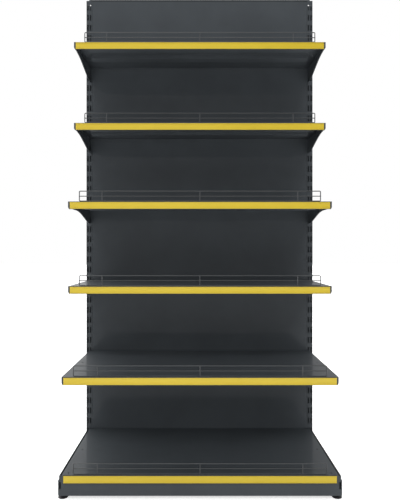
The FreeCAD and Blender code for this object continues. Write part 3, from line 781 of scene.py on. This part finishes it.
@dataclass
class LevellingFoot:
    """A foot of the bay: a ribbed pad and a screw with a hexagon collar."""

    pad_radius: float = 0.020
    pad_rim: float = 0.0035
    pad_height: float = 0.010
    soft_edge: float = 0.0008
    boss_radius: float = 0.0118
    boss_height: float = 0.002
    socket_radius: float = 0.0052
    socket_floor: float = 0.004
    facets: int = 48
    rib_every: int = 6
    rib_rise: float = 0.0009
    grip_every: int = 3
    grip_reach: float = 0.0003
    grip_margin: float = 0.001
    grip_inset: float = 0.0003
    grip_depth: float = 0.00045
    stem_radius: float = 0.005
    stem_pitch: float = 0.0015
    stem_foot: float = 0.0043
    collar: Hexagon = Hexagon(flats=0.014, height=0.0054)
    collar_base: float = 0.0103

    def build_pad(self) -> bpy.types.Object:
        """Raise a disc into a pad with a grip on its rim, ribs on its cone and a socket for the screw.

        Returns:
            The pad, modelled on the origin.
        """
        soft = self.soft_edge
        radius, height = self.pad_radius - soft, 0.0
        pad = start("circle", "foot_pad", vertices=self.facets, radius=radius, fill_type="NGON")
        rings = (
            (self.pad_radius, soft),
            (self.pad_radius, self.pad_rim - soft),
            (self.pad_radius - soft, self.pad_rim),
            (self.boss_radius + soft, self.pad_height - 2 * soft),
            (self.boss_radius, self.pad_height - soft),
            (self.boss_radius - soft, self.pad_height),
            (self.socket_radius, self.pad_height),
            (self.socket_radius, self.socket_floor),
        )
        with editing(pad, Pick.FACE):
            for wide, high in rings:
                extrude((0, 0, high - height))
                resize((wide / radius, wide / radius, 1), (0, 0, high))
                radius, height = wide, high
            bpy.ops.mesh.select_all(action="SELECT")
            bpy.ops.mesh.normals_make_consistent(inside=False)
            pick(pad, Pick.FACE, self.on_rib)
            bpy.ops.mesh.extrude_region_shrink_fatten(TRANSFORM_OT_shrink_fatten={"value": self.rib_rise})
            pick(pad, Pick.FACE, self.on_grip)
            bpy.ops.mesh.inset(thickness=self.grip_inset, depth=-self.grip_depth, use_individual=True)
        close_up(pad)
        return pad

    def on_rib(self, place: Vector) -> bool:
        """Tell which faces are the cone's ribs.

        Args:
            place: A face's middle.

        Returns:
            Whether the face is on a rib.
        """
        on_cone = self.pad_rim < place.z < self.pad_height - self.boss_height
        off_boss = place.xy.length > self.boss_radius
        return on_cone and off_boss and self.sector(place) % self.rib_every == 0

    def on_grip(self, place: Vector) -> bool:
        """Tell which faces are the rim's grip notches.

        Args:
            place: A face's middle.

        Returns:
            Whether the face is in a notch.
        """
        on_rim = self.grip_margin < place.z < self.pad_rim - self.grip_margin
        on_side = place.xy.length > self.pad_radius - self.grip_reach
        return on_rim and on_side and self.sector(place) % self.grip_every == 0

    def sector(self, place: Vector) -> int:
        """Number of the facet that a place lies on, counted round the pad."""
        return int(math.atan2(place.y, place.x) / FULL_TURN * self.facets) % self.facets

    def build_stem(self, length: float) -> bpy.types.Object:
        """Cut the screw and put its collar on.

        Args:
            length: The screw's length.

        Returns:
            The stem, modelled over the origin.
        """
        screw = Thread(self.stem_radius, self.stem_pitch, length).build("foot_stem")
        screw.location.z = self.stem_foot
        fix_place(screw)
        weld_into(screw, self.collar.build("foot_collar", self.collar_base))
        close_up(screw)
        return screw

    def build(self) -> None:
        """Make the four feet."""
        low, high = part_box("foot_stem_front_left")
        pad, stem = self.build_pad(), self.build_stem(high.z - low.z)
        for end in End:
            for side in Side:
                where = f"{end.value}_{side.name.lower()}"
                for model, look, kind, slot, finish in (
                    (pad, "ribbed", "foot_pad", Slot.PLASTIC, BLACK),
                    (stem, "threaded", "foot_stem", Slot.ZINC, ZINC),
                ):
                    node = f"{kind}_{where}"
                    piece = copy_to(model, f"{look}_{node}", Vector((*middle_of(node).xy, 0)))
                    settle(piece, node, node, finish.material())
        for model in (pad, stem):
            bpy.data.objects.remove(model)


@dataclass
class RailBolts:
    """The bolts of the two tie rails: hexagon heads on round washers, and threaded shanks."""

    thread_radius: float = 0.003
    thread_pitch: float = 0.001
    thread_steps: int = 16
    thread_chamfer: float = 0.0005
    head: Hexagon = Hexagon(flats=0.010, height=0.0036, chamfer=0.0003)
    washer_radius: float = 0.0062
    washer: float = 0.0004
    washer_rounding: float = 0.0001
    washer_facets: int = 32
    shank: float = 0.011
    spread: float = 0.011

    def build_bolt(self) -> bpy.types.Object:
        """Make one bolt along +X, with the face under its head at the origin.

        Returns:
            The bolt.
        """
        thread = Thread(
            self.thread_radius,
            self.thread_pitch,
            self.shank + self.washer,
            steps=self.thread_steps,
            chamfer=self.thread_chamfer,
        )
        bolt = thread.build("rail_bolt")
        bolt.location.z = -self.washer
        fix_place(bolt)
        head = self.head.build("bolt_head", -self.washer - self.head.height)
        ring = start(
            "cylinder",
            "bolt_washer",
            vertices=self.washer_facets,
            radius=self.washer_radius,
            depth=self.washer,
            location=(0, 0, -self.washer / 2),
        )
        round_edges(ring, self.washer_rounding, segments=1)
        weld_into(head, ring)
        weld_into(bolt, head)
        bolt.rotation_euler = (0, QUARTER_TURN, 0)
        fix_place(bolt)
        close_up(bolt)
        return bolt

    def build(self) -> None:
        """Put two bolts through each end of both rails."""
        model = self.build_bolt()
        low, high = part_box("rail_bolts")
        seat, deep = high.x - self.shank, (low.y + high.y) / 2
        for rail in ("lower", "upper"):
            middle = middle_of(f"tie_rail_{rail}")
            for side in Side:
                turn = 0.0 if side is Side.RIGHT else math.pi
                for number, sign in enumerate((-1, 1), start=1):
                    name = f"hex_bolt_{rail}_{side.name.lower()}_{number}"
                    place = Vector((side.value * seat, deep, middle.z + sign * self.spread))
                    bolt = copy_to(model, name, place, turn)
                    settle(bolt, "frame", "rail_bolts", ZINC.material())
        bpy.data.objects.remove(model)


@dataclass
class PriceStrip:
    """Yellow price strip: an extruded channel with turned-in lips, on the front of a deck."""

    shelf: str
    body: str
    wall: float = 0.0011
    lip: float = 0.0032
    rounding: float = 0.0003

    def build(self) -> None:
        """Extrude the channel's profile from its back wall, and give it its thickness."""
        node = f"{self.shelf}_price_strip"
        low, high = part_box(node)
        half = self.wall / 2
        top, bottom = high.z - half, low.z + half
        depth = high.y - low.y - self.wall
        strip = start(
            "plane",
            f"{self.shelf}_strip_channel",
            scale=(high.x - low.x, top - bottom, 1),
            size=1,
            location=((low.x + high.x) / 2, high.y - half, (top + bottom) / 2),
            rotation=(QUARTER_TURN, 0, 0),
        )
        with editing(strip):
            for edge, lip in ((top, -self.lip), (bottom, self.lip)):
                pick(strip, Pick.EDGE, lambda place: abs(place.z - edge) < CLOSE)
                extrude((0, -depth, 0))
                extrude((0, 0, lip + math.copysign(half, -lip)))
        finish_with(strip, "SOLIDIFY", thickness=self.wall, offset=0, use_even_offset=True)
        round_edges(strip, self.rounding)
        close_up(strip)
        settle(strip, self.body, node, YELLOW.material())


@dataclass
class Fence:
    """Wire fence: a bent frame, a middle bar and three pins, welded where they cross."""

    wire: float = 0.004
    bar: float = 0.0036
    bar_rounding: float = 0.0006
    bar_angle: float = math.radians(60)
    bend: float = 0.004
    lap: float = 0.003
    bar_offset: float = 0.003
    pin_length: float = 0.015
    pin_inset: float = 0.0945
    middle: float = 0.0225
    deck_gap: float = 0.0003
    facets: int = 12
    bend_steps: int = 6
    bead: float = 0.0021
    bead_splits: int = 2
    bead_shape: Point = (1.25, 0.9, 1.1)
    smooth: float = math.radians(40)

    def build_frame(self, half: float, low: float, high: float) -> bpy.types.Object:
        """Bend the frame's wire round its four corners.

        Args:
            half: Half the width, to the wire's middle.
            low: The height of the bottom wire.
            high: The height of the top wire.

        Returns:
            The closed frame.
        """
        across, foot, head = half - self.bend, low + self.bend, high - self.bend
        loop = start(
            "circle",
            "fence_frame",
            vertices=self.facets,
            radius=self.wire / 2,
            location=(-across, 0, low),
            rotation=(0, QUARTER_TURN, 0),
        )
        bends = (
            ((2 * across, 0, 0), (across, 0, foot)),
            ((0, 0, head - foot), (across, 0, head)),
            ((-2 * across, 0, 0), (-across, 0, head)),
            ((0, 0, foot - head), (-across, 0, foot)),
        )
        with editing(loop, Pick.EDGE):
            for run, centre in bends:
                extrude(run)
                bpy.ops.mesh.spin(steps=self.bend_steps, angle=QUARTER_TURN, center=centre, axis=(0, 1, 0))
        close_up(loop)
        return loop

    def rod(self, place: Point, length: float, turn: Point = (0, 0, 0)) -> bpy.types.Object:
        """Straight wire with rounded ends.

        Args:
            place: The wire's middle.
            length: Its length.
            turn: Its turn from standing upright.

        Returns:
            The wire.
        """
        rod = start(
            "cylinder",
            "fence_rod",
            vertices=self.facets,
            radius=self.bar / 2,
            depth=length,
            location=place,
            rotation=turn,
        )
        round_edges(rod, self.bar_rounding, angle=self.bar_angle)
        return rod

    def build_model(self) -> bpy.types.Object:
        """Make one fence over the origin, with the top of its deck at 0.

        Returns:
            The fence.
        """
        low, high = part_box("shelf_1_fence")
        half = high.x - self.lap
        deck = low.z + self.pin_length
        top = high.z - deck - self.wire / 2
        bottom = self.wire / 2 + self.deck_gap
        loop = self.build_frame(half, bottom, top)
        across = self.rod((0, self.bar_offset, self.middle), 2 * (half + self.lap), (0, QUARTER_TURN, 0))
        tools = [across]
        beads = [(sign * half, self.bar_offset / 2, self.middle) for sign in (-1, 1)]
        for x in (self.pin_inset - half, 0.0, half - self.pin_inset):
            tools.append(self.rod((x, 0, (top - self.pin_length) / 2), top + self.pin_length))
            beads += [(x, self.bar_offset / 2, self.middle), (x, 0, bottom), (x, 0, top)]
        for bead in beads:
            shape = start(
                "ico_sphere", "weld_bead", subdivisions=self.bead_splits, radius=self.bead, location=bead
            )
            with editing(shape):
                resize(self.bead_shape, bead)
            tools.append(shape)
        weld_into(loop, join(tools))
        close_up(loop, self.smooth)
        return loop

    def build(self, shelves: list[tuple[str, str]]) -> None:
        """Put a fence on each deck.

        Args:
            shelves: Each shelf's name, and its fence's body.
        """
        model = self.build_model()
        for shelf, body in shelves:
            node = f"{shelf}_fence"
            low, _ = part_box(node)
            place = Vector((0, low.y + self.wire / 2, low.z + self.pin_length))
            fence = copy_to(model, f"{shelf}_wire_fence", place)
            settle(fence, body, node, WIRE_PAINT.material())
        bpy.data.objects.remove(model)


@dataclass
class Steelwork:
    """The painted and plated CAD nodes that show as they are."""

    painted: tuple[str, ...] = ("upright", "back_panel", "top_rail", "tie_rail", "base_leg", "kick_plate")
    shelf_parts: tuple[str, ...] = ("deck", "stiffener", "bracket")
    plated: tuple[str, ...] = ("rail_nuts", "foot_nuts")

    def dress(self) -> None:
        """Give each node its finish."""
        for name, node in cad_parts.items():
            if name.startswith(self.painted) or any(f"_{part}" in name for part in self.shelf_parts):
                dress(node, PAINT.material())
                log.info("%s is powder coated", name)
            elif name.startswith(self.plated):
                dress(node, ZINC.material())
                log.info("%s is zinc plated", name)


@dataclass
class Studio:
    """White studio: a floor, a sky, a wide soft lamp, a low fill and the camera."""

    eye: Point = (-0.0107, -2.2411, 0.990)
    frame_shift: Pair = (0.0053, -0.0013)
    lens: float = 35.86
    sensor: float = 36.0
    floor_size: float = 60.0
    floor_drop: float = 0.0002
    sky_front: float = 0.3
    sky_back: float = 1.55
    sky_fall: float = 0.38
    sky_turn: float = 0.4
    floor_colour: Colour = (0.9, 0.9, 0.9)
    floor_lift: float = 0.6
    lamp_height: float = math.radians(37)
    lamp_spread: float = math.radians(30)
    lamp_power: float = 1.42
    fill_place: Point = (0, -2.6, 0.35)
    fill_size: Pair = (3.0, 0.6)
    fill_tilt: float = math.radians(5)
    fill_power: float = 8.5

    @staticmethod
    def seen(graph: Graph) -> Signal:
        """Mask of the rays that show the background itself: straight, mirrored or through glass.

        Args:
            graph: The tree that gets the nodes.

        Returns:
            The mask, 0 or 1.
        """
        rays = ("Is Camera Ray", "Is Glossy Ray", "Is Transmission Ray")
        camera, glossy, through = (graph.add("ShaderNodeLightPath", output=ray) for ray in rays)
        return camera.top(glossy).top(through)

    def build_sky(self) -> None:
        """Light the bay from all round, more from behind and from the left, on a white background."""
        world = bpy.data.worlds.new("studio_sky")
        world.use_nodes = True
        bpy.context.scene.world = world
        graph = Graph(world.node_tree)
        direction = graph.add("ShaderNodeTexCoord", output="Generated")
        split = {"Vector": direction}
        across, deep = (graph.add("ShaderNodeSeparateXYZ", {}, split, axis) for axis in "XY")
        rise = (self.sky_back - self.sky_front) * deep.between(-self.sky_turn, self.sky_turn)
        fall = 1 + self.sky_fall - 2 * self.sky_fall * across.between(-self.sky_turn, self.sky_turn)
        light = (self.sky_front + rise).top(self.seen(graph)) * fall
        strength = light + graph.add("ShaderNodeLightPath", output="Is Camera Ray") * (1 - light)
        glow = graph.add("ShaderNodeBackground", {}, {"Color": WHITE, "Strength": strength})
        graph.add("ShaderNodeOutputWorld", {}, {"Surface": glow})

    def build_floor(self) -> None:
        """Lay a pale floor that keeps the bay's shadow."""
        floor = start("plane", "studio_floor", size=self.floor_size, location=(0, 0, -self.floor_drop))
        material, graph = new_graph("pale_floor")
        matt = graph.add("ShaderNodeBsdfDiffuse", {}, {"Color": self.floor_colour})
        lift = self.floor_lift * self.seen(graph)
        pale = graph.add("ShaderNodeEmission", {}, {"Color": WHITE, "Strength": lift})
        graph.add("ShaderNodeOutputMaterial", {}, {"Surface": graph.sum_of(matt, pale)})
        dress(floor, material)

    @staticmethod
    def add_lamp(name: str, kind: str, place: Point, rise: float, **settings: object) -> None:
        """Add a lamp that shines towards the back and shows in no mirror.

        Args:
            name: The lamp's name.
            kind: Its type.
            place: Where it stands.
            rise: How far its light is turned up from level, in radians.
            settings: Its other settings.
        """
        light = bpy.data.lights.new(name, kind)
        for key, setting in settings.items():
            setattr(light, key, setting)
        lamp = bpy.data.objects.new(name, light)
        bpy.context.scene.collection.objects.link(lamp)
        lamp.location = place
        lamp.rotation_euler = (QUARTER_TURN + rise, 0, 0)
        lamp.visible_glossy = False
        lamp.visible_camera = False

    def build_lamps(self) -> None:
        """Light the bay from the front with a wide, distant lamp and a low, soft fill."""
        wide, high = self.fill_size
        self.add_lamp(
            "soft_lamp",
            "SUN",
            (0, 0, 0),
            -self.lamp_height,
            angle=self.lamp_spread,
            energy=self.lamp_power,
        )
        self.add_lamp(
            "low_fill",
            "AREA",
            self.fill_place,
            self.fill_tilt,
            shape="RECTANGLE",
            size=wide,
            size_y=high,
            energy=self.fill_power,
        )

    def build_camera(self) -> None:
        """Stand the camera level, in front of the bay."""
        data = bpy.data.cameras.new("front_camera")
        data.lens = self.lens
        data.sensor_width = self.sensor
        data.shift_x, data.shift_y = self.frame_shift
        data.dof.use_dof = False
        camera = bpy.data.objects.new("front_camera", data)
        bpy.context.scene.collection.objects.link(camera)
        camera.location = self.eye
        camera.rotation_euler = (QUARTER_TURN, 0, 0)
        bpy.context.scene.camera = camera

    def build(self) -> None:
        """Set the stage."""
        self.build_sky()
        self.build_floor()
        self.build_lamps()
        self.build_camera()
        bpy.context.scene.view_settings.view_transform = "Standard"


def main() -> None:
    """Build the looks of the bay, piece by piece."""
    logging.basicConfig(level=logging.INFO, format="%(message)s")
    hung = [f"shelf_{number}" for number in range(1, HUNG_SHELVES + 1)]
    Steelwork().dress()
    LevellingFoot().build()
    RailBolts().build()
    for shelf in hung:
        PriceStrip(shelf, shelf).build()
    PriceStrip("base", "base_shelf").build()
    Fence().build([(shelf, f"{shelf}_fence") for shelf in (*hung, "base")])
    Studio().build()


if __name__ == "__main__":
    main()
